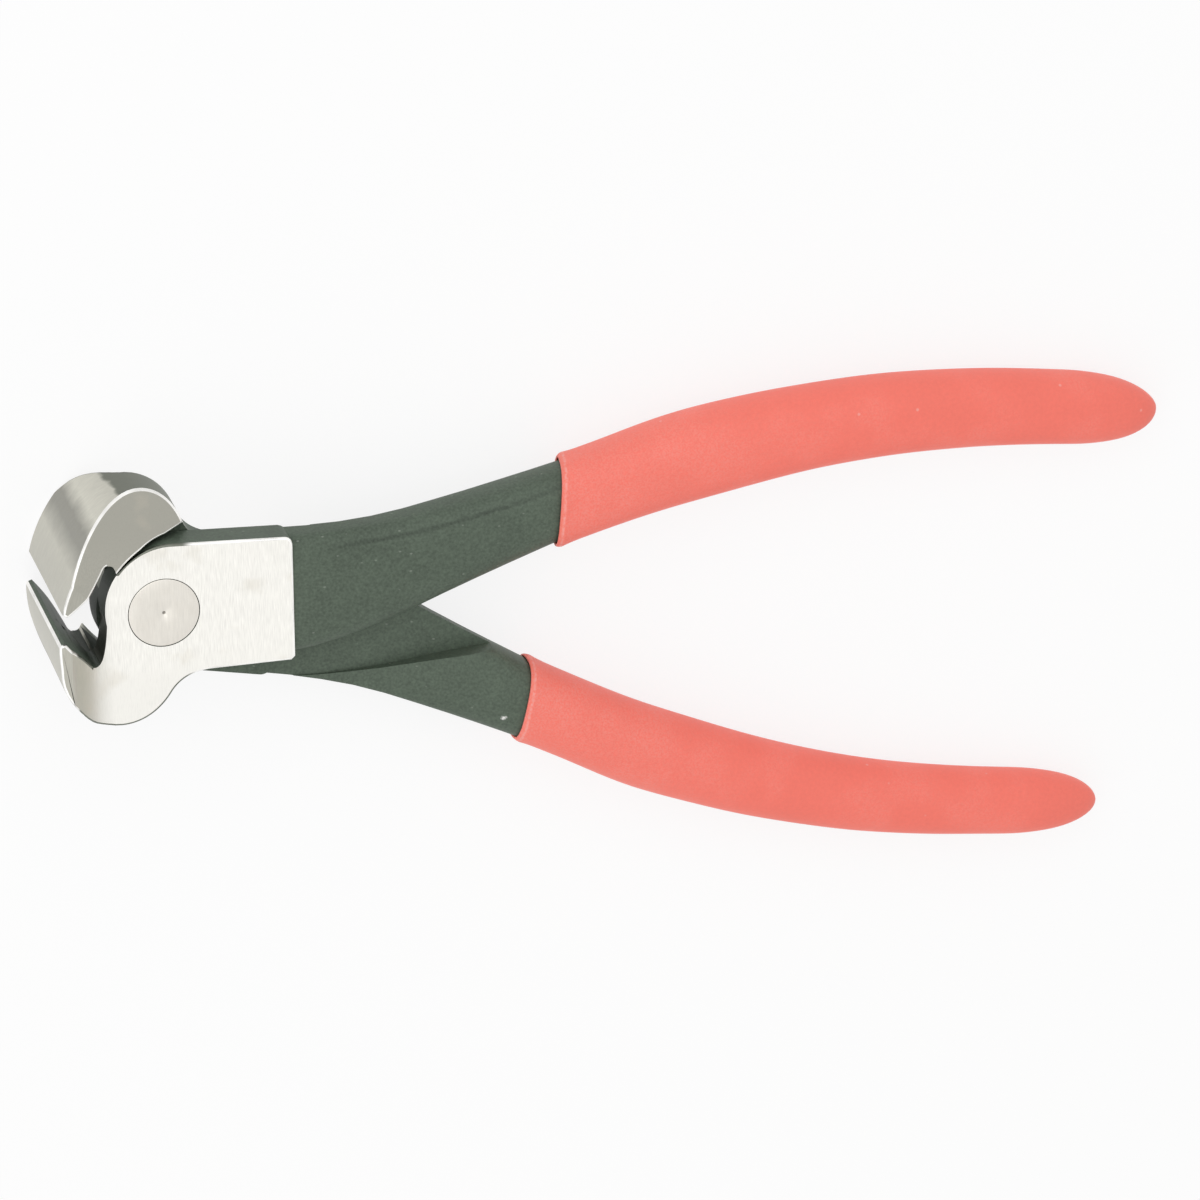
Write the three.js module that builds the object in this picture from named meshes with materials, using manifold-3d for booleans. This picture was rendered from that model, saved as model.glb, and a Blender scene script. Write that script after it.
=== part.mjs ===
// End cutting nippers: two forged levers crossed in a lap joint, a flush pivot rivet and two dipped grips.
// Millimetres. The origin is on the pivot axis in the rear face of the joint; +X runs to the handles,
// +Y is up and +Z runs along the pivot. Both levers have one shape, drawn closed and about the lap plane.

import * as THREE from 'three';
import { mergeVertices } from 'three/addons/utils/BufferGeometryUtils.js';
import Module from 'manifold-3d';

const wasm = await Module();
wasm.setup();

// Joint
const JOINT_THICKNESS = 10.8;
const LAP_GAP = 0.3;
const OPEN_ANGLE = 14.2;
const PAD_HALF_WIDTH = 10.2;
const PAD_END = 20.3;
const PAD_CORNER = 1.7;
const BOSS_RADIUS = 10.1;
const BOSS_X = 1.0;
const BOSS_Y = 1.0;
const WALL_GAP = 1.2;

// Pivot rivet, with a cone under each flush head
const RIVET_HEAD_RADIUS = 5.4;
const RIVET_SHANK_RADIUS = 4.3;
const RIVET_HEAD_RIM = 0.5;
const RIVET_HEAD_CONE = 1.2;
const RIVET_CLEARANCE = 0.2;

// Jaws, measured from the pivot
const JAW_WIDTH = 26.3;
const NOSE_REACH = 17.7;
const NOSE_LAND = 0.9;
const NOSE_BEVEL = 0.35;
const EDGE_GAP = 0.1;
const BELLY_X = 6.9;
const BELLY_DEPTH = 18.0;
const HEEL_X = 0.9;
const HEEL_DEPTH = 13.4;
const HEEL_FILLET = 6.6;
const THROAT_X = 10.8;
const THROAT_DEPTH = 7.3;
const THROAT_RADIUS = 0.95;
const FLARE_START = 8.2;
const FLARE_END = 15.8;
const SHOULDER_DEPTH = 10.0;
const SHOULDER_SLOPE_X = 0.36;
const SHOULDER_SLOPE_Y = 0.6;

// Handles
const HANDLE_REACH = 158.4;
const TIP_ROUND = 12;
const LAP_STEP_GAP = 0.4;
const NECK_END = 62.3;
const UPPER_MOUTH = 63.4;
const LOWER_MOUTH = 62.2;
const GRIP_GAP = 0.3;
const UPPER_COAT = 1.2;
const LOWER_COAT = 0.7;
const MOUTH_SHARE = 0.6;
const COAT_RUN = 25;
const LIP_ROUND = 1.2;

// Cross sections of the tang: place along X, middle and half width in Y, front and rear height from the
// lap plane, and how square the section is. The handle leaves the joint flat and ends as an oval.
const TANG_SECTIONS = [
  { x: PAD_END - 7, y: 0, half: 10.1, front: 4.9, rear: 0, square: 7 },
  { x: PAD_END + 4, y: 0.2, half: 9.4, front: 4.9, rear: 0, square: 6 },
  { x: NECK_END - 27, y: 1.8, half: 8.2, front: 4.85, rear: 0.8, square: 5 },
  { x: NECK_END - 16, y: 4.6, half: 7.0, front: 4.8, rear: 2.6, square: 4 },
  { x: NECK_END - 5, y: 7.5, half: 6.2, front: 4.75, rear: 4.2, square: 3 },
  { x: NECK_END + 6, y: 10.5, half: 5.75, front: 4.7, rear: 4.7, square: 2.5 },
  { x: NECK_END + 22, y: 14.4, half: 5.7, front: 4.6, rear: 4.6, square: 2.3 },
  { x: NECK_END + 45, y: 17.3, half: 5.1, front: 4.15, rear: 4.15, square: 2.3 },
  { x: HANDLE_REACH - 29, y: 17.3, half: 4.65, front: 3.75, rear: 3.75, square: 2.3 },
  { x: HANDLE_REACH, y: 14.0, half: 4.1, front: 3.3, rear: 3.3, square: 2.3 },
];

const SECTION_POINTS = 28;
const ARC_STEPS = 18;
const FAR = 60;

function material(color, roughness, metalness) {
  return new THREE.MeshStandardMaterial({ color, roughness, metalness });
}

// The closed solid of a geometry, ready for joins and cuts
function solid(geometry) {
  geometry.deleteAttribute('normal');
  geometry.deleteAttribute('uv');
  const merged = mergeVertices(geometry, 1e-4);
  const vertProperties = new Float32Array(merged.attributes.position.array);
  const triVerts = new Uint32Array(merged.index.array);
  return new wasm.Manifold(new wasm.Mesh({ numProp: 3, vertProperties, triVerts }));
}

// A named mesh of a solid
function part(name, body, finish) {
  const { vertProperties, triVerts } = body.getMesh();
  const geometry = new THREE.BufferGeometry();
  geometry.setAttribute('position', new THREE.BufferAttribute(vertProperties, 3));
  geometry.setIndex(new THREE.BufferAttribute(triVerts, 1));
  geometry.computeVertexNormals();
  const mesh = new THREE.Mesh(geometry, finish);
  mesh.name = name;
  return mesh;
}

// An outline in XY, thickened from one height to another
function slab(shape, from, to) {
  const geometry = new THREE.ExtrudeGeometry(shape, {
    depth: to - from,
    bevelEnabled: false,
    curveSegments: ARC_STEPS,
  });
  return solid(geometry.translate(0, 0, from));
}

// A skin over a row of like rings, closed at both ends
function loft(rings) {
  const count = rings[0].length;
  const points = rings.flat();
  const index = [];
  for (let ring = 0; ring + 1 < rings.length; ring++) {
    for (let i = 0; i < count; i++) {
      const a = ring * count + i;
      const b = ring * count + ((i + 1) % count);
      index.push(a, b, a + count, b, b + count, a + count);
    }
  }
  const last = points.length - count;
  for (let i = 1; i + 1 < count; i++) {
    index.push(0, i + 1, i, last, last + i, last + i + 1);
  }
  const geometry = new THREE.BufferGeometry().setFromPoints(points);
  geometry.setIndex(index);
  return solid(geometry);
}

// The tang's section values anywhere along its length, by smooth curves through the listed sections
function sectionCurves() {
  const row = (pick) => {
    const points = TANG_SECTIONS.map((section) => new THREE.Vector3(...pick(section)));
    return new THREE.CatmullRomCurve3(points, false, 'catmullrom', 0.5);
  };
  const plan = row((s) => [s.x, s.y, s.half]);
  const heights = row((s) => [s.front, s.rear, s.square]);
  return (t) => {
    const { x, y, z: half } = plan.getPoint(t);
    const { x: front, y: rear, z: square } = heights.getPoint(t);
    return { x, y, half, front, rear: Math.max(rear, 0), square };
  };
}

const sectionAt = sectionCurves();

// One ring of a handle: a rounded section grown outwards by an offset and drawn in near the tip
function ring(section, offset, scale) {
  const points = [];
  for (let i = 0; i < SECTION_POINTS; i++) {
    const angle = (2 * Math.PI * i) / SECTION_POINTS;
    const side = Math.sign(Math.cos(angle)) * Math.abs(Math.cos(angle)) ** (2 / section.square);
    const rise = Math.sign(Math.sin(angle)) * Math.abs(Math.sin(angle)) ** (2 / section.square);
    const height = rise > 0 ? section.front : section.rear;
    const y = section.y + side * (section.half + offset) * scale;
    const z = rise * (height + offset) * scale;
    points.push(new THREE.Vector3(section.x, y, z));
  }
  return points;
}

// The part of t where the tang crosses a given X
function stationAt(x) {
  let low = 0;
  let high = 1;
  for (let i = 0; i < 40; i++) {
    const middle = (low + high) / 2;
    if (sectionAt(middle).x < x) low = middle;
    else high = middle;
  }
  return low;
}

// A handle's rings from one X to its tip, where an elliptic nose closes it
function handleRings(from, tip, offset, steps) {
  const rings = [];
  const straight = tip - TIP_ROUND;
  for (let i = 0; i <= steps; i++) {
    const x = from + ((straight - from) * i) / steps;
    rings.push(ring({ ...sectionAt(stationAt(x)), x }, offset(x - from), 1));
  }
  for (const turn of [0.3, 0.55, 0.75, 0.9, 0.98]) {
    const angle = (turn * Math.PI) / 2;
    const x = straight + TIP_ROUND * Math.sin(angle);
    rings.push(ring({ ...sectionAt(stationAt(x)), x }, offset(x - from), Math.cos(angle)));
  }
  return rings;
}

// The outer curve of the jaw, from the cutting edge under the belly to the heel
function jawBack(shape) {
  shape.moveTo(-NOSE_REACH + NOSE_LAND, -EDGE_GAP / 2);
  shape.lineTo(-NOSE_REACH, -NOSE_BEVEL);
  shape.bezierCurveTo(-NOSE_REACH - 0.3, -8, -BELLY_X - 6.9, -BELLY_DEPTH, -BELLY_X, -BELLY_DEPTH);
  shape.bezierCurveTo(-BELLY_X + 3.3, -BELLY_DEPTH, HEEL_X - 1.8, -HEEL_DEPTH - 2.8, HEEL_X, -HEEL_DEPTH);
}

// The inner face of the jaw, from the throat back to the cutting edge
function jawFace(shape) {
  shape.quadraticCurveTo(-NOSE_REACH + 3.6, -3.3, -NOSE_REACH + NOSE_LAND, -EDGE_GAP / 2);
}

// Plan of the plate half: jaw, heel fillet, ground pad and the boss around the rivet
function plateOutline() {
  const shape = new THREE.Shape();
  jawBack(shape);
  shape.bezierCurveTo(HEEL_X + 1.3, -HEEL_DEPTH + 2, HEEL_X + 3.3, -PAD_HALF_WIDTH,
    HEEL_X + HEEL_FILLET, -PAD_HALF_WIDTH);
  shape.lineTo(PAD_END - PAD_CORNER / 3, -PAD_HALF_WIDTH);
  shape.lineTo(PAD_END, -PAD_HALF_WIDTH + PAD_CORNER / 3);
  shape.lineTo(PAD_END, PAD_HALF_WIDTH - PAD_CORNER);
  shape.quadraticCurveTo(PAD_END, PAD_HALF_WIDTH, PAD_END - PAD_CORNER, PAD_HALF_WIDTH);
  shape.absarc(BOSS_X, BOSS_Y, BOSS_RADIUS, Math.PI / 2, 1.07 * Math.PI, false);
  const throatY = THROAT_RADIUS - THROAT_DEPTH;
  shape.quadraticCurveTo(BOSS_X - BOSS_RADIUS, throatY + 1.1, THROAT_RADIUS - THROAT_X, throatY - 0.35);
  shape.absarc(-THROAT_X, throatY, THROAT_RADIUS, -0.15 * Math.PI, -0.85 * Math.PI, true);
  jawFace(shape);
  return shape;
}

// Plan of the jaw block beside the other lever's boss, with its curved wall, cusp and throat
function blockOutline() {
  const shape = new THREE.Shape();
  jawBack(shape);
  shape.absarc(BOSS_X, -BOSS_Y, BOSS_RADIUS + WALL_GAP, 1.41 * Math.PI, 1.15 * Math.PI, true);
  const radius = THROAT_RADIUS + 0.2;
  const throatY = radius - THROAT_DEPTH - 0.5;
  shape.absarc(-THROAT_X - 0.4, throatY, radius, -0.12 * Math.PI, -0.85 * Math.PI, true);
  jawFace(shape);
  return shape;
}

// The jaw seen along Y: flush with the joint at the pivot and flared to the full cutting width at the nose
function flareProfile() {
  const half = JAW_WIDTH / 2;
  const flush = JOINT_THICKNESS / 2;
  const shape = new THREE.Shape();
  shape.moveTo(-FAR, -half);
  shape.lineTo(FAR, -half);
  shape.lineTo(FAR, flush);
  shape.lineTo(-FLARE_START, flush);
  shape.quadraticCurveTo(-(FLARE_START + FLARE_END) / 2, flush, -FLARE_END, half);
  shape.lineTo(-FAR, half);
  const options = { depth: 2 * FAR, bevelEnabled: false, curveSegments: ARC_STEPS };
  return solid(new THREE.ExtrudeGeometry(shape, options).rotateX(Math.PI / 2).translate(0, FAR, 0));
}

// Everything behind the slanting shoulder that is ground on the far side of the jaw
function behindShoulder() {
  const geometry = new THREE.BoxGeometry(4 * FAR, 4 * FAR, FAR).translate(0, 0, -FAR / 2);
  const normal = new THREE.Vector3(-SHOULDER_SLOPE_X, SHOULDER_SLOPE_Y, 1).normalize();
  const turn = new THREE.Quaternion().setFromUnitVectors(new THREE.Vector3(0, 0, 1), normal);
  return solid(geometry.applyQuaternion(turn).translate(0, 0, -SHOULDER_DEPTH));
}

// The space that the other lever's tang sweeps below the lap plane when the jaws close
function lapRelief() {
  const shape = new THREE.Shape();
  const from = TANG_SECTIONS[0].x - 1;
  shape.moveTo(from, -FAR);
  for (let i = 0; i <= ARC_STEPS; i++) {
    const x = from + ((NECK_END - from) * i) / ARC_STEPS;
    const { y, half } = sectionAt(stationAt(x));
    shape.lineTo(x, half - y + LAP_STEP_GAP);
  }
  shape.lineTo(NECK_END, -FAR);
  return slab(shape, -FAR, LAP_GAP / 2);
}

// The rivet's body of revolution, grown by a clearance for the holes that it turns in
function rivetSolid(clearance, overrun) {
  const half = JOINT_THICKNESS / 2;
  const head = RIVET_HEAD_RADIUS + clearance;
  const shank = RIVET_SHANK_RADIUS + clearance;
  const rim = half - RIVET_HEAD_RIM - clearance;
  const neck = rim - RIVET_HEAD_CONE;
  const end = half + overrun;
  const profile = [
    new THREE.Vector2(0, -end),
    new THREE.Vector2(head, -end),
    new THREE.Vector2(head, -rim),
    new THREE.Vector2(shank, -neck),
    new THREE.Vector2(shank, neck),
    new THREE.Vector2(head, rim),
    new THREE.Vector2(head, end),
    new THREE.Vector2(0, end),
  ];
  return solid(new THREE.LatheGeometry(profile, 64).rotateX(Math.PI / 2));
}

// One lever in the closed pose: jaw below the axis, tang above it and plate in front of the lap plane
function leverSolid() {
  const half = JAW_WIDTH / 2;
  const plate = slab(plateOutline(), LAP_GAP / 2, half);
  const block = slab(blockOutline(), -half, JOINT_THICKNESS / 4);
  const head = plate.add(block).intersect(flareProfile()).subtract(behindShoulder());
  const start = TANG_SECTIONS[0].x;
  const tang = loft(handleRings(start, HANDLE_REACH, () => 0, 26)).subtract(lapRelief());
  return head.add(tang).subtract(rivetSolid(RIVET_CLEARANCE, 1));
}

// A dipped grip: a sleeve around the tang, closed at the tip, thinner towards the rounded lip at its mouth
function gripSolid(mouth, coat) {
  const skin = (along) => {
    const thickness = THREE.MathUtils.lerp(MOUTH_SHARE, 1, THREE.MathUtils.smoothstep(along, 0, COAT_RUN));
    const lip = Math.sqrt(1 - 0.75 * Math.max(0, 1 - along / LIP_ROUND) ** 2);
    return GRIP_GAP + coat * thickness * lip;
  };
  const outer = handleRings(mouth, HANDLE_REACH + GRIP_GAP + coat, skin, 24);
  const lipRings = [0.35, 0.7].map((share) => {
    const x = mouth + LIP_ROUND * share;
    return ring({ ...sectionAt(stationAt(x)), x }, skin(LIP_ROUND * share), 1);
  });
  outer.splice(1, 0, ...lipRings);
  const hollow = loft(handleRings(mouth - 1, HANDLE_REACH + GRIP_GAP, () => GRIP_GAP, 16));
  return loft(outer).subtract(hollow);
}

// One half of the nippers, swung open from the closed pose by its share of the angle
function half(lever, grip) {
  const group = new THREE.Group();
  group.rotation.z = THREE.MathUtils.degToRad(OPEN_ANGLE / 2);
  group.add(lever, grip);
  return group;
}

function nippers() {
  const steel = material(0x8d8c84, 0.38, 0.9);
  const bright = material(0xc9c7c0, 0.3, 1);
  const vinyl = material(0xf0675a, 0.55, 0);
  const lever = leverSolid();
  const upperGrip = part('upper_grip', gripSolid(UPPER_MOUTH, UPPER_COAT), vinyl);
  const lowerGrip = part('lower_grip', gripSolid(LOWER_MOUTH, LOWER_COAT), vinyl.clone());
  const front = half(part('front_lever', lever, steel), upperGrip);
  const rear = half(part('rear_lever', lever, steel.clone()), lowerGrip);
  const turnedOver = new THREE.Group();
  turnedOver.rotation.x = Math.PI;
  turnedOver.add(rear);
  const group = new THREE.Group();
  group.position.z = JOINT_THICKNESS / 2;
  group.add(front, turnedOver, part('pivot_rivet', rivetSolid(0, 0), bright));
  const tool = new THREE.Group();
  tool.add(group);
  return tool;
}

export default nippers();
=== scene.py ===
"""Looks of a pair of end cutting nippers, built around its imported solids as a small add-on."""

import math

import bmesh
import bpy
from bpy.props import FloatProperty, FloatVectorProperty, IntProperty, PointerProperty
from mathutils import Matrix, Quaternion, Vector, noise


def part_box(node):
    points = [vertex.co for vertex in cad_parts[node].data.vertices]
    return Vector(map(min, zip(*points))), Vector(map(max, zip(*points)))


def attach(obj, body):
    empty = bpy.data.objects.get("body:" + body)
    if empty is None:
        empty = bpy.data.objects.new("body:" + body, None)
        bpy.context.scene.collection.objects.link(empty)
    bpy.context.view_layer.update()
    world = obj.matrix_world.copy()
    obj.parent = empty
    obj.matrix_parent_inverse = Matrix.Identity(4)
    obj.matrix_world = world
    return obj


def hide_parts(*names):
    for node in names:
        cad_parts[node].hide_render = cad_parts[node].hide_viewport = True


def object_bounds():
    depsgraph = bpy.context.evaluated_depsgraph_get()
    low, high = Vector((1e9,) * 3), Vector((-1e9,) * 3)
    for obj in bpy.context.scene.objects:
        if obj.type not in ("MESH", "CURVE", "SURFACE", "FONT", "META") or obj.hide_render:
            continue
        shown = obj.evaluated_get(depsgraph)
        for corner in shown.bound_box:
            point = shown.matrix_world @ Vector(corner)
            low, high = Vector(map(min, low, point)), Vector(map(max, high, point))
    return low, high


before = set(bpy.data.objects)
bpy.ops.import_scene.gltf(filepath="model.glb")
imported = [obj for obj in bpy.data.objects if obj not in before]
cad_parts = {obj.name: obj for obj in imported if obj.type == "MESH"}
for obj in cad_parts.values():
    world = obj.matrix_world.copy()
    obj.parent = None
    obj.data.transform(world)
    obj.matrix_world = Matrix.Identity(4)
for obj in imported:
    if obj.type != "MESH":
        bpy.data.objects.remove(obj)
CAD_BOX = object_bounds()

bl_info = {
    "name": "End Cutting Nippers",
    "version": (1, 0, 0),
    "blender": (4, 5, 0),
    "location": "3D View > Sidebar > Nippers",
    "description": "Dresses the levers, rivet and grips of a pair of nippers and lights them",
    "category": "Object",
}

MM = 0.001
RIVET_LOW, RIVET_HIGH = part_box("pivot_rivet")
LAP_HEIGHT = (RIVET_LOW.z + RIVET_HIGH.z) / 2
BODY_OF = {"front_lever": "front_half", "upper_grip": "front_half", "pivot_rivet": "front_half",
           "rear_lever": "rear_half", "lower_grip": "rear_half"}
TURNED_OVER = {"front_lever": False, "upper_grip": False, "rear_lever": True, "lower_grip": True}

# How far a grip's mouth reaches towards the joint: millimetres, slope across and slope in depth
MOUTH_LEAN = {"upper_grip": (1.27, -0.083, 0.135), "lower_grip": (1.9, -0.025, 0.0)}
# How much fuller than its solid a jaw's flare is, in millimetres: along the rivet, then outwards
JAW_SWELL = {"front_lever": (0.4, 0.34), "rear_lever": (1.55, 0.0)}


# Settings that a user would change

class NipperSizes(bpy.types.PropertyGroup):
    """Sizes of the rounded edges, the rivet and the grips."""

    half_angle: FloatProperty(
        name="Half Opening", description="Turn of each lever from the closed pose",
        default=math.radians(7.1), subtype="ANGLE")
    jaw_edge: FloatProperty(
        name="Jaw Edge", description="Width of the rounded edge around the back of a jaw",
        default=0.36 * MM, unit="LENGTH", precision=5)
    edge_rows: IntProperty(
        name="Edge Rows", description="Rows of faces around a rounded edge",
        default=3, min=1, max=6)
    rivet_edge: FloatProperty(
        name="Rivet Edge", description="Rounding at the rim of the flush rivet end",
        default=0.12 * MM, unit="LENGTH", precision=5)
    centre_mark: FloatProperty(
        name="Centre Mark", description="Radius of the small turned mark in the rivet's middle",
        default=0.32 * MM, unit="LENGTH", precision=5)
    grip_wall: FloatProperty(
        name="Grip Wall", description="Thickness of the dipped plastic at the mouth",
        default=0.42 * MM, unit="LENGTH", precision=5)
    grip_lip: FloatProperty(
        name="Grip Lip", description="Swelling of the bead around the mouth of a grip",
        default=0.14 * MM, unit="LENGTH", precision=5)
    grip_waves: FloatProperty(
        name="Grip Waves", description="Height of the slow unevenness of the dipped plastic",
        default=0.09 * MM, unit="LENGTH", precision=5)


class NipperColours(bpy.types.PropertyGroup):
    """Colours of the finishes."""

    pad_steel: FloatVectorProperty(
        name="Pad Steel", description="Ground steel of the joint faces",
        default=(0.915, 0.90, 0.85), subtype="COLOR", min=0, max=1)
    # Bright bare steel of the chip and worn edges, also a painted highlight along the rounded edges
    bare_and_highlight_steel: FloatVectorProperty(
        name="Edge Steel", description="Bright steel of worn edges",
        default=(0.94, 0.93, 0.90), subtype="COLOR", min=0, max=1)
    jaw_steel: FloatVectorProperty(
        name="Jaw Steel", description="Ground steel of the jaw sides",
        default=(0.50, 0.49, 0.43), subtype="COLOR", min=0, max=1)
    heel_steel: FloatVectorProperty(
        name="Heel Steel", description="Darker steel where the grinding stops over the heel",
        default=(0.20, 0.21, 0.175), subtype="COLOR", min=0, max=1)
    rivet_steel: FloatVectorProperty(
        name="Rivet Steel", description="Softer steel of the rivet",
        default=(0.79, 0.76, 0.70), subtype="COLOR", min=0, max=1)
    oxide: FloatVectorProperty(
        name="Black Oxide", description="Dark coat of the tangs and of all unground steel",
        default=(0.085, 0.112, 0.082), subtype="COLOR", min=0, max=1)
    plastic: FloatVectorProperty(
        name="Grip Plastic", description="Dipped plastic of the grips",
        default=(0.96, 0.20, 0.15), subtype="COLOR", min=0, max=1)
    floor: FloatVectorProperty(
        name="Floor", description="Plain pale floor",
        default=(0.97, 0.97, 0.97), subtype="COLOR", min=0, max=1)


class NipperStage(bpy.types.PropertyGroup):
    """Camera and light."""

    look_at: FloatVectorProperty(
        name="Look At", description="Point in the middle of the picture",
        default=(70.35 * MM, 0.38 * MM, 5.4 * MM),
        subtype="TRANSLATION", unit="LENGTH", precision=5)
    distance: FloatProperty(
        name="Distance", description="From the camera to that point",
        default=1257.1 * MM, unit="LENGTH")
    azimuth: FloatProperty(
        name="Azimuth", description="Way to the camera, turned from +X about +Z",
        default=math.radians(127.721), subtype="ANGLE")
    tilt: FloatProperty(
        name="Tilt", description="Lean of the camera from straight above",
        default=math.radians(27.4386), subtype="ANGLE")
    roll: FloatProperty(
        name="Roll", description="Turn of the camera about its own line of sight",
        default=math.radians(7.0105), subtype="ANGLE")
    lens: FloatProperty(
        name="Lens", description="Focal length on a sensor 36 mm wide",
        default=243.75, unit="CAMERA")
    sky: FloatProperty(
        name="Sky", description="Strength of the even light from all round", default=0.7, min=0)
    key: FloatProperty(
        name="Key", description="Power of the main soft lamp", default=2.4, unit="POWER", min=0)
    fill: FloatProperty(
        name="Fill", description="Power of the second soft lamp", default=0.8, unit="POWER", min=0)


# Shader maths

class Wire:
    """A socket of a finish. Sums on it add Math nodes."""

    def __init__(self, finish, socket):
        self.finish = finish
        self.socket = socket

    def _math(self, operation, *values):
        return self.finish.node("ShaderNodeMath", {"operation": operation}, dict(enumerate(values)))

    def __add__(self, other):
        return self._math("ADD", self, other)

    def __sub__(self, other):
        return self._math("SUBTRACT", self, other)

    def __rsub__(self, other):
        return self._math("SUBTRACT", other, self)

    def __mul__(self, other):
        return self._math("MULTIPLY", self, other)

    def __pow__(self, other):
        return self._math("POWER", self, other)

    def __abs__(self):
        return self._math("ABSOLUTE", self)

    __radd__ = __add__
    __rmul__ = __mul__


class Finish:
    """A material or world being wired up."""

    def __init__(self, owner):
        owner.use_nodes = True
        self.owner = owner
        self.tree = owner.node_tree
        self.tree.nodes.clear()

    def node(self, kind, settings=None, sockets=None, output=0):
        """Adds a node: its settings first, then the values or links of its sockets.

        Gives the wire of one output, or of each output in a tuple.
        """
        made = self.tree.nodes.new(kind)
        for name, value in (settings or {}).items():
            if name == "stops":
                while len(made.color_ramp.elements) < len(value):
                    made.color_ramp.elements.new(0.5)
                for element, (place, tone) in zip(made.color_ramp.elements, value):
                    element.position = place
                    element.color = (tone, tone, tone, 1)
            else:
                setattr(made, name, value)
        for name, value in (sockets or {}).items():
            if isinstance(value, Wire):
                self.tree.links.new(value.socket, made.inputs[name])
            else:
                made.inputs[name].default_value = value
        if isinstance(output, tuple):
            return tuple(Wire(self, made.outputs[name]) for name in output)
        return Wire(self, made.outputs[output]) if len(made.outputs) else None

    def step(self, value, low, high):
        """A smooth step from 0 at low to 1 at high."""
        return self.node("ShaderNodeMapRange", {"interpolation_type": "SMOOTHSTEP"},
                         {"Value": value, "From Min": low, "From Max": high})

    def noise(self, vector, scale, detail=2.0):
        """Soft noise around one half, with its scale in patches for each millimetre."""
        return self.node("ShaderNodeTexNoise", {},
                         {"Vector": vector, "Scale": scale, "Detail": detail}, "Fac")

    def stretched(self, vector, factors):
        """A place scaled by itself along each axis."""
        return self.node("ShaderNodeVectorMath", {"operation": "MULTIPLY"}, {0: vector, 1: factors})

    def mix(self, amount, first, second):
        """A colour between two, each a wire or a plain colour."""
        settings = {"data_type": "RGBA", "clamp_factor": True}
        sockets = {0: amount, 6: colour(first), 7: colour(second)}
        return self.node("ShaderNodeMix", settings, sockets, 2)

    def shade(self, tint, tone):
        """A colour made lighter or darker by a value."""
        grey = self.node("ShaderNodeCombineColor", {}, {0: tone, 1: tone, 2: tone})
        settings = {"data_type": "RGBA", "blend_type": "MULTIPLY"}
        return self.node("ShaderNodeMix", settings, {0: 1.0, 6: colour(tint), 7: grey}, 2)

    def specks(self, vector, scale, share, size):
        """Round specks in a share of the cells of a grid, each up to a size in cells."""
        near, cell = self.node("ShaderNodeTexVoronoi", {},
                               {"Vector": vector, "Scale": scale}, ("Distance", "Color"))
        chance = self.node("ShaderNodeSeparateColor", {}, {0: cell})
        return self.step(near, size, 0.4 * size) * self.step(chance, 1 - share, 1.01 - share)

    def bump(self, height, strength, distance):
        """A normal that follows a height."""
        return self.node("ShaderNodeBump", {},
                         {"Height": height, "Strength": strength, "Distance": distance})

    def surface(self, **sockets):
        """The principled shader and the output."""
        shader = self.node("ShaderNodeBsdfPrincipled", {}, sockets)
        self.node("ShaderNodeOutputMaterial", {}, {"Surface": shader})
        return self.owner


def colour(value):
    """A plain colour with its alpha, or the wire as it is."""
    return value if isinstance(value, Wire) else (*value, 1.0)


def lever_space(finish, name):
    """Object coordinates in the closed lever's own frame in millimetres, and their three values."""
    sizes = bpy.context.scene.nipper_sizes
    over = TURNED_OVER[name]
    lap = LAP_HEIGHT / MM
    place = finish.node("ShaderNodeTexCoord", {}, {}, "Object")
    sockets = {
        "Vector": place,
        "Location": (0, 0, lap if over else -lap),
        "Rotation": (math.pi if over else 0, 0, -sizes.half_angle),
        "Scale": (1 / MM, 1 / MM, 1 / MM),
    }
    turned = finish.node("ShaderNodeMapping", {"vector_type": "POINT"}, sockets)
    return turned, *finish.node("ShaderNodeSeparateXYZ", {}, {0: turned}, ("X", "Y", "Z"))


# Finishes

STAIN = (0.66, 0.61, 0.51)
SHADED_EDGE = (0.17, 0.18, 0.15)
PALE_SPECK = (0.36, 0.39, 0.34)
RIVET_STAIN = (0.66, 0.62, 0.55)
MARK_DARK = (0.12, 0.11, 0.09)
PLASTIC_SHEEN = (0.95, 0.36, 0.31)
PLASTIC_DUST_AND_HIGHLIGHT = (0.95, 0.55, 0.50)
CHIP_STRETCH, CHIP_PLACE = (0.7, 1.0, 0.5), (40.4, 10.7, -2.0)
GRINDING_DEPTH, GRAIN_DEPTH = 0.05 * MM, 0.06 * MM


def new_finish(name):
    """An empty material."""
    return Finish(bpy.data.materials.new(name))


def ground_face(name):
    """Ground and brushed steel, with painted shade: white on the joint pad, greyer down the sloping
    flare towards the nose, and darker on the shoulders away from the plate.
    """
    colours = bpy.context.scene.nipper_colours
    finish = new_finish(name + "_ground_face")
    place, x, y, z = lever_space(finish, name)
    brush = finish.noise(finish.stretched(place, (7.0, 0.5, 7.0)), 1.0, 4.0)
    blot = finish.noise(place, 0.16, 3.0)
    # Painted shade: the sloping flare and the faces away from the plate take the greyer jaw steel,
    # the flat joint pad stays white
    unshaded_share = finish.step(x, -14.5, -7.5) * finish.step(z, 0.0, 3.0)
    tint = finish.mix(unshaded_share, colours.jaw_steel, colours.pad_steel)
    tint = finish.mix(finish.step(blot, 0.58, 0.75) * 0.3, tint, STAIN)
    belly = finish.step(y, -7.0, -13.0)
    strokes = 0.8 + 0.38 * brush - 0.12 * belly * finish.step(brush, 0.45, 0.7)
    # Painted shade: faces on the side away from the plate, the shoulders, are darker still
    shoulder_shade = finish.step(z, 2.0, 0.0)
    return finish.surface(**{
        "Base Color": finish.shade(tint, strokes * (1 - 0.18 * shoulder_shade)), "Metallic": 1.0,
        "Roughness": 0.27 + 0.16 * brush, "Normal": finish.bump(brush, 0.12, GRINDING_DEPTH)})


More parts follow.
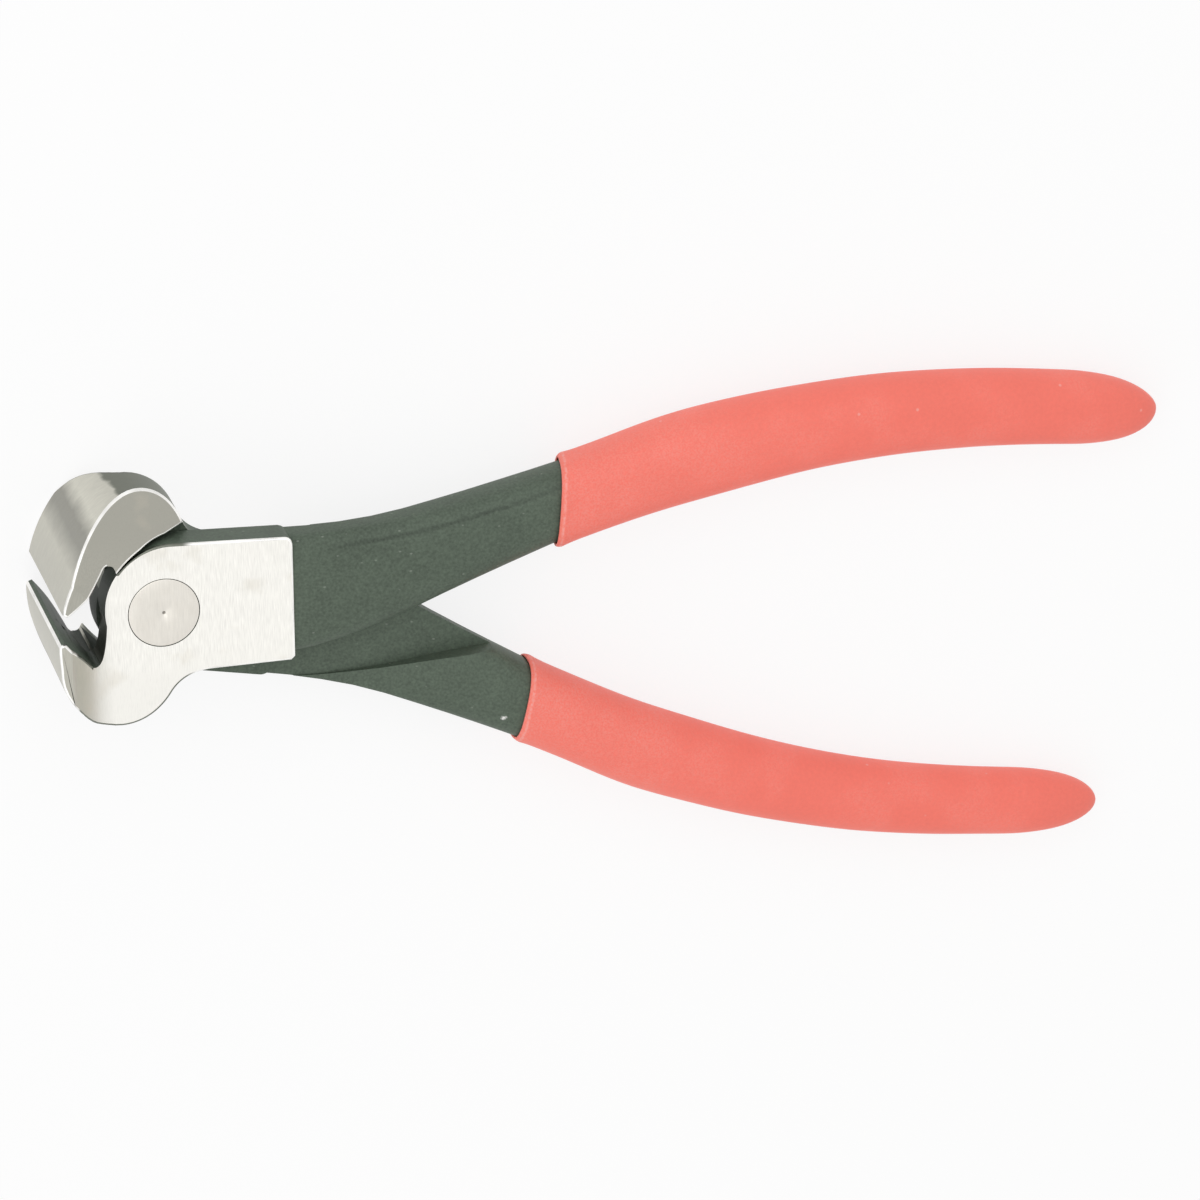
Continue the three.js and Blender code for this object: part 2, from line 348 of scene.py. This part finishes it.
def worn_and_highlight_edge(name):
    """Bright steel along the edges, partly wear and partly a painted highlight of the rounded
    edges, with painted shade along the rim of the joint's plate.
    """
    colours = bpy.context.scene.nipper_colours
    finish = new_finish(name + "_worn_edge")
    place, x, _, z = lever_space(finish, name)
    wear = finish.noise(place, 0.35, 3.0)
    # Painted shade: the rounded rim of the plate around the jaw and belly is darkened, as if it
    # reflected darker surroundings
    under = finish.step(z, 2.0, 4.0) * finish.step(x, 5.0, 3.0) * finish.step(x, -15.0, -14.4)
    tint = finish.mix(under, colours.bare_and_highlight_steel, SHADED_EDGE)
    return finish.surface(**{
        "Base Color": finish.shade(tint, 0.62 + 0.7 * wear), "Metallic": 1.0,
        "Roughness": 0.2 + 0.2 * wear})


def jaw_back(name):
    """The curved back of a jaw, with a painted reflection in tone bands along the curve, dark
    across the middle, and darker steel over the heel.
    """
    colours = bpy.context.scene.nipper_colours
    finish = new_finish(name + "_jaw_back")
    place, x, y, z = lever_space(finish, name)
    grain = finish.noise(finish.stretched(place, (0.6, 0.6, 5.0)), 1.0, 4.0)
    blot = finish.noise(place, 0.35, 3.0)
    down = finish.node("ShaderNodeMapRange", {}, {"Value": y, "From Min": 0.0, "From Max": -18.0})
    # Painted reflection: tone stops down the jaw's curve, with a dark band across the middle where
    # darker surroundings would reflect
    reflection_stops = [(0.0, 0.8), (0.35, 0.86), (0.53, 0.48), (0.63, 0.48), (0.76, 1.0), (0.95, 0.85)]
    painted_reflection = finish.node("ShaderNodeValToRGB", {"stops": reflection_stops}, {0: down + 0.1 * (blot - 0.5)})
    tint = finish.shade(colours.jaw_steel, painted_reflection)
    heel = finish.step(x + 0.1 * z + 1.6 * (blot - 0.5), -11.0, -10.2)
    tint = finish.mix(heel, tint, colours.heel_steel)
    return finish.surface(**{
        "Base Color": finish.shade(tint, (1.05 + 0.5 * grain) * (1 - 0.27 * heel)), "Metallic": 1.0,
        "Roughness": 0.3 + 0.14 * grain + 0.12 * heel,
        "Normal": finish.bump(grain, 0.12, GRINDING_DEPTH)})


def black_oxide(name):
    """Matt dark coat with a fine grain, pale specks, a faint darker line along the tang, painted
    shade in the lap recess and the throat, and one bare chip.
    """
    colours = bpy.context.scene.nipper_colours
    finish = new_finish(name + "_black_oxide")
    place, x, y, z = lever_space(finish, name)
    grain = finish.noise(place, 2.4, 3.0)
    blot = finish.noise(place, 0.15, 2.0)
    # A faint darker line along the tang
    reach = x - 20.0
    line = abs(y - 7.1 - 0.0033 * (reach * reach) + 0.8 * (blot - 0.5))
    darker_line = finish.step(line, 0.55, 0.05) * finish.step(x, 22.0, 34.0) * finish.step(z, 3.0, 4.5)
    # Painted shade: darker in the lap recess around the joint and in the throat
    round_joint = (x * x + y * y) ** 0.5
    lap = finish.step(z, 0.5, -0.5) * finish.step(round_joint, 17.0, 14.0)
    throat_shade = finish.step(round_joint, 15.5, 12.0) * finish.step(x, -7.0, -8.5)
    recess_shade = finish.node("ShaderNodeMath", {"operation": "MAXIMUM"}, {0: lap, 1: throat_shade})
    tint = finish.shade(colours.oxide, 0.27 + 1.2 * grain + 0.32 * blot - 0.3 * darker_line)
    specks = finish.specks(finish.stretched(place, (0.6, 1.0, 1.0)), 0.85, 0.3, 0.15)
    tint = finish.mix(specks * 0.4, tint, PALE_SPECK)
    tint = finish.shade(tint, 1 - 0.55 * recess_shade)
    if TURNED_OVER[name]:
        ends = {0: finish.stretched(place, CHIP_STRETCH), 1: CHIP_PLACE}
        away = finish.node("ShaderNodeVectorMath", {"operation": "DISTANCE"}, ends, "Value")
        chip = finish.step(away + 0.9 * (grain - 0.5), 0.42, 0.05)
        tint = finish.mix(chip * 0.85, tint, colours.bare_and_highlight_steel)
    return finish.surface(**{
        "Base Color": tint, "Metallic": 0.1, "Roughness": 0.42 + 0.22 * grain,
        "Specular IOR Level": 0.35, "Normal": finish.bump(grain, 0.3, GRAIN_DEPTH)})


def rivet_steel():
    """Softer steel, ground flush with the pad in the same strokes."""
    colours = bpy.context.scene.nipper_colours
    finish = new_finish("rivet_steel")
    place, x, y, _ = lever_space(finish, "front_lever")
    brush = finish.noise(finish.stretched(place, (6.0, 0.5, 6.0)), 1.0, 4.0)
    blot = finish.noise(place, 0.5, 2.0)
    tint = finish.mix(0.4 * blot, colours.rivet_steel, RIVET_STAIN)
    # Darker in the small centre mark
    centre = finish.step((x * x + y * y) ** 0.5, 0.34, 0.2)
    tint = finish.mix(0.8 * centre, tint, MARK_DARK)
    return finish.surface(**{
        "Base Color": finish.shade(tint, 0.88 + 0.22 * brush), "Metallic": 1.0,
        "Roughness": 0.3 + 0.14 * brush, "Normal": finish.bump(brush, 0.1, GRINDING_DEPTH)})


def dipped_plastic(name, mouth):
    """Salmon red plastic with a cloudy grain, a painted sheen strongest near the mouth, a painted
    highlight line along the bead behind the mouth, and a little dust.
    """
    colours = bpy.context.scene.nipper_colours
    finish = new_finish(name + "_plastic")
    place, x, y, z = lever_space(finish, name)
    grain = finish.noise(place, 1.7, 3.0)
    cloud = finish.noise(place, 0.1, 2.0)
    tint = finish.shade(colours.plastic, 0.9 + 0.12 * grain + 0.1 * cloud)
    # Painted sheen: a paler mottling, strongest near the mouth
    near = finish.step(x, mouth + 40.0, mouth + 4.0)
    mist = finish.noise(place, 3.6, 2.0)
    most = 0.05 + 0.3 * near + 0.2 * finish.step(cloud, 0.45, 0.65)
    tint = finish.mix(finish.step(mist, 0.3, 0.75) * most, tint, PLASTIC_SHEEN)
    # Painted highlight: a pale line along the shoulder of the bead behind the mouth, mixed in with
    # the dust
    level, by_width, by_depth = MOUTH_LEAN[name]
    behind = x - mouth + level + by_width * y + by_depth * z
    line = finish.step(abs(behind - 0.75), 0.3, 0.05) * finish.step(grain, 0.3, 0.6)
    dust = finish.specks(place, 0.3, 0.22, 0.1) + finish.specks(place, 0.12, 0.2, 0.05)
    tint = finish.mix(0.4 * (line + dust), tint, PLASTIC_DUST_AND_HIGHLIGHT)
    return finish.surface(**{
        "Base Color": tint, "Roughness": 0.4 + 0.16 * grain, "Specular IOR Level": 0.3,
        "Normal": finish.bump(grain, 0.3, GRAIN_DEPTH)})


# Pieces

OXIDE, FACE, BACK, EDGE = range(4)

# Places on a closed lever, in millimetres: Z is the rivet, -X the nose, -Y the jaw and +X the tang
PLATE_SKIN = 5.3        # just under the ground face of the joint's plate
FLARE_FOOT = 5.45       # just over that face
FLARE_START = -8.0      # from here to the nose the flare's slope is ground too
FLARE_END = 13.15       # most height that the rounded flare comes to
FLAT_ENDS = 13.1        # just short of the flat ends of the jaw
RIVET_SEAT = 6.5        # reach around the rivet that stays as in the solid
THROAT, THROAT_DEEP, THROAT_LOW = -7.0, -11.5, -8.5
HEEL_WALL = 11.9        # reach of the wall that the other lever's boss turns in
NOSE = -16.0
BACK_END, BACK_TOP = 2.5, -0.2
JAW_MIDDLE = Vector((-4, -4))
SHOULDER_END = 3.0
SHOULDER = Vector((0.36, -0.6, -1)).normalized()
PLATE_CUTS = (-6.8, -9.6)
SHARP, SHARP_IN_THROAT = math.radians(24), math.radians(9)

# Sizes around a grip's mouth, in millimetres, and the scale of its waves for each metre
MOUTH_ROWS = (0.3, 0.8, 1.5, 2.6)
MOUTH_FADE = 14.0
BEAD_PLACE, BEAD_WIDTH = 0.8, 0.7
WAVE_SCALE = 90


def to_lever(name):
    """Matrix from the stored pose into the closed lever's own frame, in millimetres."""
    turn = Matrix.Rotation(-bpy.context.scene.nipper_sizes.half_angle, 4, "Z")
    if TURNED_OVER[name]:
        turn = turn @ Matrix.Rotation(math.pi, 4, "X")
    return Matrix.Scale(1 / MM, 4) @ turn @ Matrix.Translation((0, 0, -LAP_HEIGHT))


def merged_copy(name):
    """A bmesh of a CAD node with its loose triangles joined up."""
    bm = bmesh.new()
    bm.from_mesh(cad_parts[name].data)
    bmesh.ops.remove_doubles(bm, verts=bm.verts, dist=0.001 * MM)
    return bm


def cut_rows(bm, name, places, lowest=-math.inf):
    """Cuts rows of edges across a lever or grip, through the faces above a height."""
    matrix = to_lever(name)
    back = matrix.inverted()
    along = back.to_3x3() @ Vector((1, 0, 0))
    for place in places:
        faces = [f for f in bm.faces if all((matrix @ v.co).z > lowest for v in f.verts)]
        around = dict.fromkeys(item for f in faces for item in (*f.verts, *f.edges))
        bmesh.ops.bisect_plane(bm, geom=[*faces, *around], dist=1e-8,
                               plane_co=back @ Vector((place, 0, 0)), plane_no=along)


def finish_piece(bm, name, node, materials):
    """The object of a bmesh, riding on its node's body and standing for the node."""
    if not bm.faces:
        raise RuntimeError(name + " has no faces")
    mesh = bpy.data.meshes.new(name)
    bm.to_mesh(mesh)
    bm.free()
    for material in materials:
        mesh.materials.append(material)
    mesh.polygons.foreach_set("use_smooth", [True] * len(mesh.polygons))
    piece = bpy.data.objects.new(name, mesh)
    bpy.context.scene.collection.objects.link(piece)
    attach(piece, BODY_OF[node])
    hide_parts(node)
    return piece


def surface_of(centre, normal):
    """Which finish a face of the closed lever has: dark, ground face or ground back of the jaw."""
    on_plate = centre.z > PLATE_SKIN and normal.z > 0.8
    on_flare = centre.z > PLATE_SKIN and centre.x < FLARE_START and normal.z > 0.15
    on_shoulder = centre.x < SHOULDER_END and normal.dot(SHOULDER) > 0.95
    if on_plate or on_flare or on_shoulder or abs(centre.z) > FLAT_ENDS:
        return FACE
    outward = (centre.xy - JAW_MIDDLE).normalized().to_3d()
    upright = abs(normal.z) < 0.3 and normal.dot(outward) > 0.3
    return BACK if upright and centre.x < BACK_END and centre.y < BACK_TOP else OXIDE


def rounding_of(middle, kinds):
    """Share of the full rounding that an edge of the closed lever gets."""
    reach = middle.xy.length
    at_nose = middle.x < NOSE and BACK in kinds
    if len(kinds) == 1 or reach < RIVET_SEAT or not (at_nose or FACE in kinds):
        return 0.0
    in_throat = THROAT_DEEP < middle.x < THROAT and middle.y > THROAT_LOW
    on_heel_wall = middle.z < -PLATE_SKIN and reach < HEEL_WALL
    return 0.0 if in_throat and not on_heel_wall else 1.0


def mark_lever(bm, name):
    """Gives each face its finish, and each edge the share of rounding that it gets."""
    matrix = to_lever(name)
    turn = matrix.to_3x3().normalized()
    for face in bm.faces:
        face.material_index = surface_of(matrix @ face.calc_center_median(), turn @ face.normal)
    weights = bm.edges.layers.float.new("bevel_weight_edge")
    for edge in bm.edges:
        kinds = {face.material_index for face in edge.link_faces}
        middle = matrix @ ((edge.verts[0].co + edge.verts[1].co) / 2)
        in_throat = kinds == {OXIDE} and middle.x < THROAT
        if edge.calc_face_angle(0) > (SHARP_IN_THROAT if in_throat else SHARP):
            edge.smooth = kinds == {FACE} and middle.x < THROAT and middle.z > 0
            edge[weights] = rounding_of(middle, kinds)


def shape_jaw(bm, name):
    """Rounds the jaw's flare on the plate side, and trims the heel wall's tip on the other side."""
    matrix = to_lever(name)
    back = matrix.inverted()
    lift, bulge = JAW_SWELL[name]
    lift_start, lift_length, lift_lean = -8.8, 7.0, 1.4
    rim, rim_start, rim_length, rim_middle = 17.5, -4.0, 12.5, Vector((-6, -6))
    wall, wall_start, wall_slope = 12.0, -9.8, 0.26
    for vert in bm.verts:
        place = matrix @ vert.co
        reach = place.xy.length
        if place.z > FLARE_FOOT:
            share = min(max((lift_start - place.x) / lift_length, 0.0), 1.0)
            raised = place.z + lift * math.sin(math.pi * share ** lift_lean)
            place.z = min(raised, max(place.z, FLARE_END))
            if reach > rim and place.y < rim_start:
                around = min((rim_start - place.y) / rim_length, 1.0)
                outward = (place.xy - rim_middle).normalized()
                place.xy += outward * bulge * math.sin(2 * math.pi * around)
        elif place.z < -PLATE_SKIN and reach < wall and place.y > wall_start:
            place.xy *= 1 + wall_slope * (place.y - wall_start) / reach
        vert.co = back @ place
    bmesh.ops.dissolve_edges(bm, edges=flare_rows(bm, matrix), use_verts=False)
    bm.normal_update()


def flare_rows(bm, matrix):
    """The long edges across the flare near the nose, which would show as creases."""
    first, last, shortest = -15.7, -13.9, 5.0
    rows = []
    for edge in bm.edges:
        ends = [matrix @ vert.co for vert in edge.verts]
        inside = all(end.z > FLARE_FOOT and first < end.x < last for end in ends)
        if inside and (ends[0] - ends[1]).length > shortest:
            rows.append(edge)
    return rows


def thin_edges(bm):
    """The long edges of hair-thin faces that lie almost flat with their neighbours."""
    shortest, widest, sharpest = 1 * MM, 0.06 * MM, math.radians(8)
    edges = set()
    for face in bm.faces:
        longest = max(face.edges, key=lambda edge: edge.calc_length())
        length = longest.calc_length()
        hair_thin = length > shortest and face.calc_area() / length < widest
        if hair_thin and longest.calc_face_angle(1) < sharpest:
            edges.add(longest)
    return [edge for edge in bm.edges if edge in edges]


def build_lever(name):
    """A forged lever with rounded jaw and pad edges."""
    sizes = bpy.context.scene.nipper_sizes
    bm = merged_copy(name)
    loose = [vert for vert in bm.verts if vert.co.xy.length > RIVET_SEAT * MM]
    bmesh.ops.remove_doubles(bm, verts=loose, dist=0.16 * MM)
    bmesh.ops.dissolve_degenerate(bm, edges=bm.edges, dist=0.02 * MM)
    bmesh.ops.dissolve_limit(bm, angle_limit=math.radians(0.4), verts=bm.verts, edges=bm.edges)
    bmesh.ops.dissolve_edges(bm, edges=thin_edges(bm), use_verts=False)
    cut_rows(bm, name, PLATE_CUTS, PLATE_SKIN)
    shape_jaw(bm, name)
    mark_lever(bm, name)
    finishes = [black_oxide(name), ground_face(name), jaw_back(name), worn_and_highlight_edge(name)]
    piece = finish_piece(bm, name + "_dressed", name, finishes)
    edges = piece.modifiers.new("rounded_edges", "BEVEL")
    edges.limit_method = "WEIGHT"
    edges.width = sizes.jaw_edge
    edges.segments = sizes.edge_rows
    edges.use_clamp_overlap = False
    edges.harden_normals = True
    edges.material = EDGE
    return piece


def build_rivet(name):
    """The rivet: a turned profile with cones under flush ends, soft rims and a centre mark."""
    sizes = bpy.context.scene.nipper_sizes
    over_bore, cone_width, rim_depth, cone_depth = 0.1 * MM, 1.1 * MM, 0.5 * MM, 1.7 * MM
    half = (RIVET_HIGH.z - RIVET_LOW.z) / 2
    head = RIVET_HIGH.x + over_bore
    shank = head - cone_width
    rim = sizes.rivet_edge
    mark = sizes.centre_mark
    top = [
        (0, half - 0.5 * mark), (0.6 * mark, half - 0.3 * mark), (mark, half), (0.5 * head, half),
        (head - rim, half), (head - 0.3 * rim, half - 0.3 * rim), (head, half - rim),
        (head, half - rim_depth), (shank, half - cone_depth),
    ]
    profile = top + [(across, -up) for across, up in reversed(top)]
    bm = bmesh.new()
    points = [bm.verts.new((across, 0, LAP_HEIGHT + up)) for across, up in profile]
    line = [bm.edges.new(pair) for pair in zip(points, points[1:])]
    bmesh.ops.spin(bm, geom=points + line, cent=(0, 0, LAP_HEIGHT), axis=(0, 0, 1),
                   angle=2 * math.pi, steps=96, use_merge=True)
    bmesh.ops.remove_doubles(bm, verts=bm.verts, dist=0.002 * MM)
    bmesh.ops.recalc_face_normals(bm, faces=bm.faces)
    # A spin leaves its faces in no fixed order, so they are sorted along a slanted line
    slant = Vector((1, 3, 7))
    bm.faces.sort(key=lambda face: slant.dot(face.calc_center_median()))
    for edge in bm.edges:
        edge.smooth = edge.calc_face_angle(0) < math.radians(40)
    return finish_piece(bm, name + "_dressed", name, [rivet_steel()])


def outer_skin(name):
    """The outside of a grip as quads, open at its mouth, and where that is along the lever."""
    bm = merged_copy(name)
    matrix = to_lever(name)
    mouth = min((matrix @ vert.co).x for vert in bm.verts)
    ring = [f for f in bm.faces if all((matrix @ v.co).x < mouth + 0.02 for v in f.verts)]
    bmesh.ops.delete(bm, geom=ring, context="FACES")
    tip = max(bm.verts, key=lambda vert: (matrix @ vert.co).x)
    inside = set(bm.verts)
    front = [tip]
    while front:
        vert = front.pop()
        if vert in inside:
            inside.remove(vert)
            front.extend(edge.other_vert(vert) for edge in vert.link_edges)
    bmesh.ops.delete(bm, geom=[vert for vert in bm.verts if vert in inside], context="VERTS")
    bmesh.ops.join_triangles(bm, faces=bm.faces, angle_face_threshold=math.radians(40),
                             angle_shape_threshold=math.radians(70))
    cut_rows(bm, name, [mouth + distance for distance in MOUTH_ROWS])
    return bm, mouth


def row_centre(bm, matrix, place):
    """The middle of the row of vertices that lies at a place along the lever."""
    row = [vert.co for vert in bm.verts if abs((matrix @ vert.co).x - place) < 0.05]
    return sum(row, Vector()) / len(row)


def build_grip(name):
    """A dipped grip: a thin uneven skin with a soft bead around its leaning mouth."""
    sizes = bpy.context.scene.nipper_sizes
    bm, mouth = outer_skin(name)
    bm.normal_update()
    matrix = to_lever(name)
    level, by_width, by_depth = MOUTH_LEAN[name]
    first = row_centre(bm, matrix, mouth)
    last = row_centre(bm, matrix, mouth + MOUTH_ROWS[-1])
    along = (last - first).normalized() * MM
    for vert in bm.verts:
        place = matrix @ vert.co
        distance = place.x - mouth
        reach = level + by_width * place.y + by_depth * place.z
        vert.co -= along * reach * max(0, 1 - distance / MOUTH_FADE) ** 2
        wave = noise.noise(vert.co * WAVE_SCALE) * sizes.grip_waves
        bead = sizes.grip_lip * math.exp(-((distance - BEAD_PLACE) / BEAD_WIDTH) ** 2)
        vert.co += vert.normal * (wave + bead)
    piece = finish_piece(bm, name + "_dressed", name, [dipped_plastic(name, mouth)])
    wall = piece.modifiers.new("wall", "SOLIDIFY")
    wall.thickness = sizes.grip_wall
    wall.offset = -1
    soft = piece.modifiers.new("soft", "SUBSURF")
    soft.levels = 2
    soft.render_levels = 2
    return piece


# Stage, in metres

KEY_PLACE, KEY_SIZE = (-0.25, 0.45, 0.75), 1.0
FILL_PLACE, FILL_SIZE = (-0.5, -0.45, 0.5), 0.8
FLOOR_HALF = 3.0
FLOOR_SLOPE = 0.0515
FLOOR_LINE = -15.7 * MM
FLOOR_GAP = 0.05 * MM
FLOOR_WHITE = 0.82


def build_floor():
    """A pale floor that leans with the tool, which rests on its jaws and grip tips."""
    colours = bpy.context.scene.nipper_colours
    bm = bmesh.new()
    bmesh.ops.create_grid(bm, x_segments=2, y_segments=2, size=FLOOR_HALF)
    lean = Matrix.Rotation(-math.atan(FLOOR_SLOPE), 4, "Y")
    place = Matrix.Translation((FLOOR_LINE, 0, CAD_BOX[0].z - FLOOR_GAP))
    bmesh.ops.transform(bm, matrix=place @ lean, verts=bm.verts)
    mesh = bpy.data.meshes.new("floor")
    bm.to_mesh(mesh)
    bm.free()
    floor = bpy.data.objects.new("floor", mesh)
    bpy.context.scene.collection.objects.link(floor)
    finish = new_finish("pale_floor")
    matt = finish.node("ShaderNodeBsdfDiffuse", {}, {"Color": colour(colours.floor)})
    white = finish.node("ShaderNodeEmission", {}, {"Color": (1, 1, 1, 1), "Strength": 1.0})
    shown = shown_rays(finish) * FLOOR_WHITE
    mixed = finish.node("ShaderNodeMixShader", {}, {0: shown, 1: matt, 2: white})
    finish.node("ShaderNodeOutputMaterial", {}, {"Surface": mixed})
    mesh.materials.append(finish.owner)


def shown_rays(finish):
    """1 on rays that show the background: straight to the camera, or by a mirror or glass."""
    names = ("Is Camera Ray", "Is Glossy Ray", "Is Transmission Ray")
    camera, glossy, through = finish.node("ShaderNodeLightPath", {}, {}, names)
    sockets = {0: camera + glossy + through, 1: 1.0}
    return finish.node("ShaderNodeMath", {"operation": "MINIMUM"}, sockets)


def build_sky():
    """A white backdrop that lights the object less than it shows."""
    stage = bpy.context.scene.nipper_stage
    world = bpy.data.worlds.new("studio")
    bpy.context.scene.world = world
    finish = Finish(world)
    strength = stage.sky + (1.0 - stage.sky) * shown_rays(finish)
    light = finish.node("ShaderNodeBackground", {}, {"Color": (1, 1, 1, 1), "Strength": strength})
    finish.node("ShaderNodeOutputWorld", {}, {"Surface": light})


def build_lamp(name, place, power, size):
    """A square soft lamp that faces the tool."""
    lamp = bpy.data.lights.new(name, "AREA")
    lamp.shape = "SQUARE"
    lamp.size = size
    lamp.energy = power
    holder = bpy.data.objects.new(name, lamp)
    holder.location = place
    target = Vector(bpy.context.scene.nipper_stage.look_at)
    holder.rotation_mode = "QUATERNION"
    holder.rotation_quaternion = (target - holder.location).to_track_quat("-Z", "Y")
    bpy.context.scene.collection.objects.link(holder)


def build_camera():
    """The photograph's view."""
    stage = bpy.context.scene.nipper_stage
    flat = math.sin(stage.tilt)
    back = Vector((flat * math.cos(stage.azimuth), flat * math.sin(stage.azimuth),
                   math.cos(stage.tilt)))
    right = Vector((0, 1, 0)).cross(back).normalized()
    level = Matrix((right, back.cross(right), back)).transposed().to_quaternion()
    camera = bpy.data.cameras.new("camera")
    camera.sensor_width = 36
    camera.lens = stage.lens
    camera.clip_start = 0.05
    camera.clip_end = 20
    holder = bpy.data.objects.new("camera", camera)
    holder.location = Vector(stage.look_at) + back * stage.distance
    holder.rotation_mode = "QUATERNION"
    holder.rotation_quaternion = level @ Quaternion((0, 0, 1), stage.roll)
    bpy.context.scene.collection.objects.link(holder)
    bpy.context.scene.camera = holder


# Operators, panel and registration

class NIPPERS_OT_levers(bpy.types.Operator):
    """Dress both forged levers."""

    bl_idname = "nippers.levers"
    bl_label = "Levers"

    def execute(self, context):
        for name in ("front_lever", "rear_lever"):
            build_lever(name)
        return {"FINISHED"}


class NIPPERS_OT_rivet(bpy.types.Operator):
    """Turn the pivot rivet."""

    bl_idname = "nippers.rivet"
    bl_label = "Rivet"

    def execute(self, context):
        build_rivet("pivot_rivet")
        return {"FINISHED"}


class NIPPERS_OT_grips(bpy.types.Operator):
    """Dip both grips."""

    bl_idname = "nippers.grips"
    bl_label = "Grips"

    def execute(self, context):
        for name in ("upper_grip", "lower_grip"):
            build_grip(name)
        return {"FINISHED"}


class NIPPERS_OT_stage(bpy.types.Operator):
    """Set up the floor, light and camera."""

    bl_idname = "nippers.stage"
    bl_label = "Stage"

    def execute(self, context):
        stage = context.scene.nipper_stage
        context.scene.view_settings.view_transform = "Standard"
        build_floor()
        build_sky()
        build_lamp("key_lamp", KEY_PLACE, stage.key, KEY_SIZE)
        build_lamp("fill_lamp", FILL_PLACE, stage.fill, FILL_SIZE)
        build_camera()
        return {"FINISHED"}


class NIPPERS_PT_sidebar(bpy.types.Panel):
    """The nippers' pieces and settings."""

    bl_idname = "NIPPERS_PT_sidebar"
    bl_label = "End Cutting Nippers"
    bl_space_type = "VIEW_3D"
    bl_region_type = "UI"
    bl_category = "Nippers"

    def draw(self, context):
        for operator in OPERATORS:
            self.layout.operator(operator.bl_idname)
        scene = context.scene
        for group in (scene.nipper_sizes, scene.nipper_colours, scene.nipper_stage):
            box = self.layout.box()
            for name in group.__annotations__:
                box.prop(group, name)


OPERATORS = (NIPPERS_OT_levers, NIPPERS_OT_rivet, NIPPERS_OT_grips, NIPPERS_OT_stage)
CLASSES = (NipperSizes, NipperColours, NipperStage, *OPERATORS, NIPPERS_PT_sidebar)


def register():
    """Registers the settings, operators and panel."""
    for item in CLASSES:
        bpy.utils.register_class(item)
    bpy.types.Scene.nipper_sizes = PointerProperty(type=NipperSizes)
    bpy.types.Scene.nipper_colours = PointerProperty(type=NipperColours)
    bpy.types.Scene.nipper_stage = PointerProperty(type=NipperStage)


def unregister():
    """Takes them away again."""
    del bpy.types.Scene.nipper_stage
    del bpy.types.Scene.nipper_colours
    del bpy.types.Scene.nipper_sizes
    for item in reversed(CLASSES):
        bpy.utils.unregister_class(item)


def main():
    """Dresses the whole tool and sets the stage."""
    register()
    bpy.ops.nippers.levers()
    bpy.ops.nippers.rivet()
    bpy.ops.nippers.grips()
    bpy.ops.nippers.stage()


if __name__ == "__main__":
    main()
